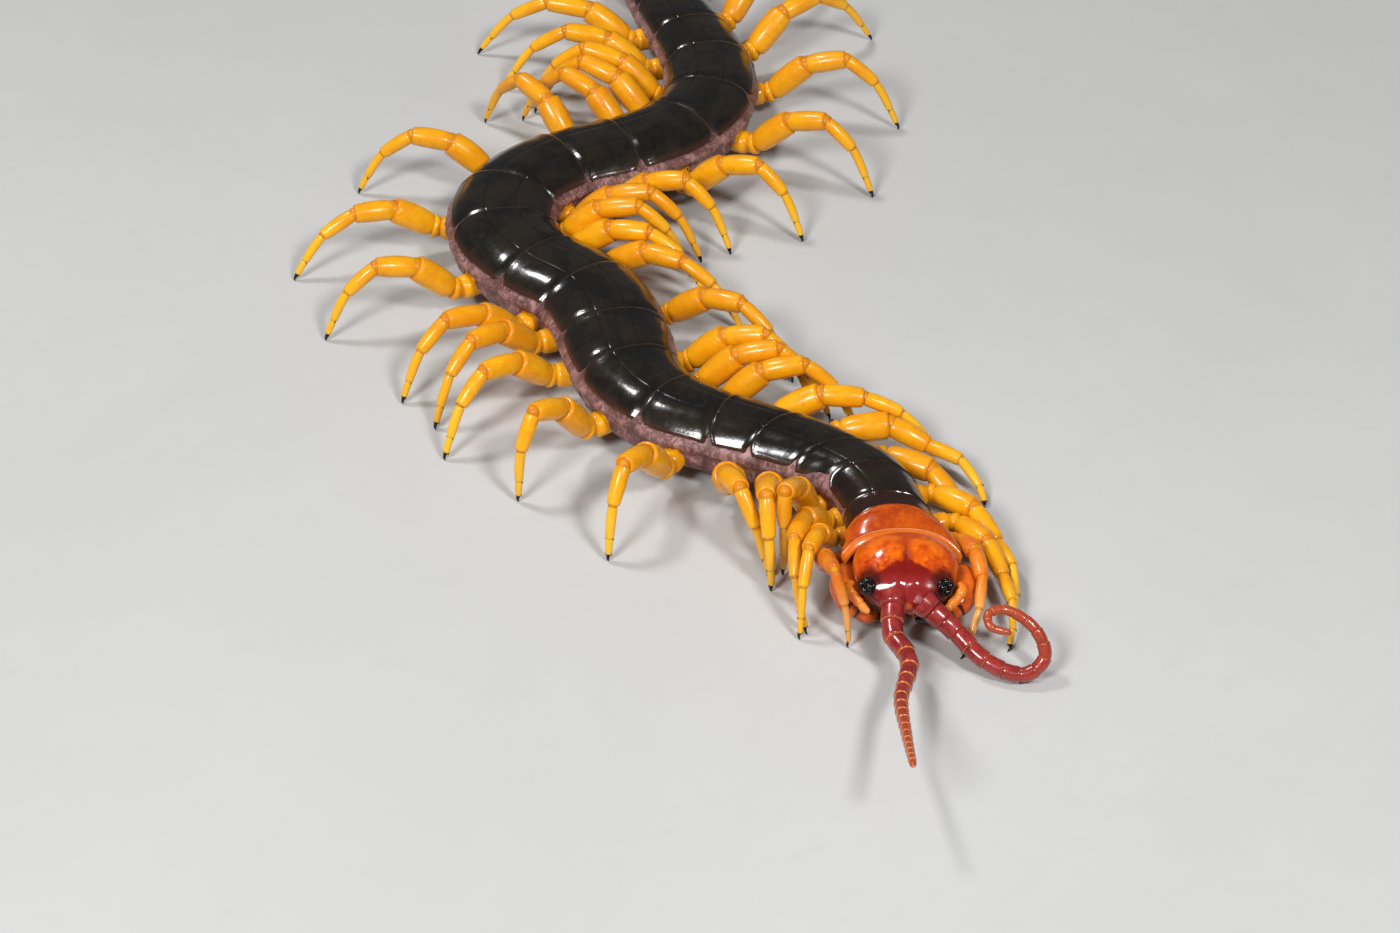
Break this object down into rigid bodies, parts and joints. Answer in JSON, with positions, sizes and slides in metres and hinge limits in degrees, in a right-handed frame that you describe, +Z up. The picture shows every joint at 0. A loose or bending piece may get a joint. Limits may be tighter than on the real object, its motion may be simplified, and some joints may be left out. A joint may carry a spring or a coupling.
{
  "type": "giant centipede figure",
  "caption": "Life-size still figure of a giant tropical centipede walking in an S bend, with plated trunk, jointed legs, poison claws, simple eyes and one curled antenna",
  "frame": {"origin": "middle of the footprint box, on the floor the feet stand on", "axes": "+Z up; +Y runs from the head toward the trailing last legs, the longest way; the head faces -Y and the animal's left side is toward +X"},
  "size_m": [0.0816, 0.191, 0.012],
  "materials": {
    "orange_plate": "glossy translucent orange-red shell",
    "black_plate": "glossy black-brown shell plates",
    "amber_leg": "glossy amber-yellow shell",
    "orange_leg": "glossy orange-brown shell",
    "wine_antenna": "satin wine-red shell",
    "eye_black": "glossy black"
  },
  "bodies": {
    "root": {"head": "orange_plate", "forcipule_left": "orange_plate", "forcipule_right": "orange_plate", "palp_left": "orange_plate", "palp_right": "orange_plate", "ocelli_left": "eye_black", "ocelli_right": "eye_black", "antenna_left": "wine_antenna", "antenna_right": "wine_antenna", "trunk_01": "orange_plate", "trunk_02_04": "black_plate", "trunk_05_07": "black_plate", "trunk_08_10": "black_plate", "trunk_11_13": "black_plate", "trunk_14_16": "black_plate", "trunk_17_19": "black_plate", "trunk_20_21": "black_plate", "leg_left_01": "orange_leg", "leg_left_02": "amber_leg", "leg_left_03": "amber_leg", "leg_left_04": "amber_leg", "leg_left_05": "amber_leg", "leg_left_06": "amber_leg", "leg_left_07": "amber_leg", "leg_left_08": "amber_leg", "leg_left_09": "amber_leg", "leg_left_10": "amber_leg", "leg_left_11": "amber_leg", "leg_left_12": "amber_leg", "leg_left_13": "amber_leg", "leg_left_14": "amber_leg", "leg_left_15": "amber_leg", "leg_left_16": "amber_leg", "leg_left_17": "amber_leg", "leg_left_18": "amber_leg", "leg_left_19": "amber_leg", "leg_left_20": "amber_leg", "leg_left_21": "orange_leg", "leg_right_01": "orange_leg", "leg_right_02": "amber_leg", "leg_right_03": "amber_leg", "leg_right_04": "amber_leg", "leg_right_05": "amber_leg", "leg_right_06": "amber_leg", "leg_right_07": "amber_leg", "leg_right_08": "amber_leg", "leg_right_09": "amber_leg", "leg_right_10": "amber_leg", "leg_right_11": "amber_leg", "leg_right_12": "amber_leg", "leg_right_13": "amber_leg", "leg_right_14": "amber_leg", "leg_right_15": "amber_leg", "leg_right_16": "amber_leg", "leg_right_17": "amber_leg", "leg_right_18": "amber_leg", "leg_right_19": "amber_leg", "leg_right_20": "amber_leg", "leg_right_21": "orange_leg"}
  },
  "joints": []
}
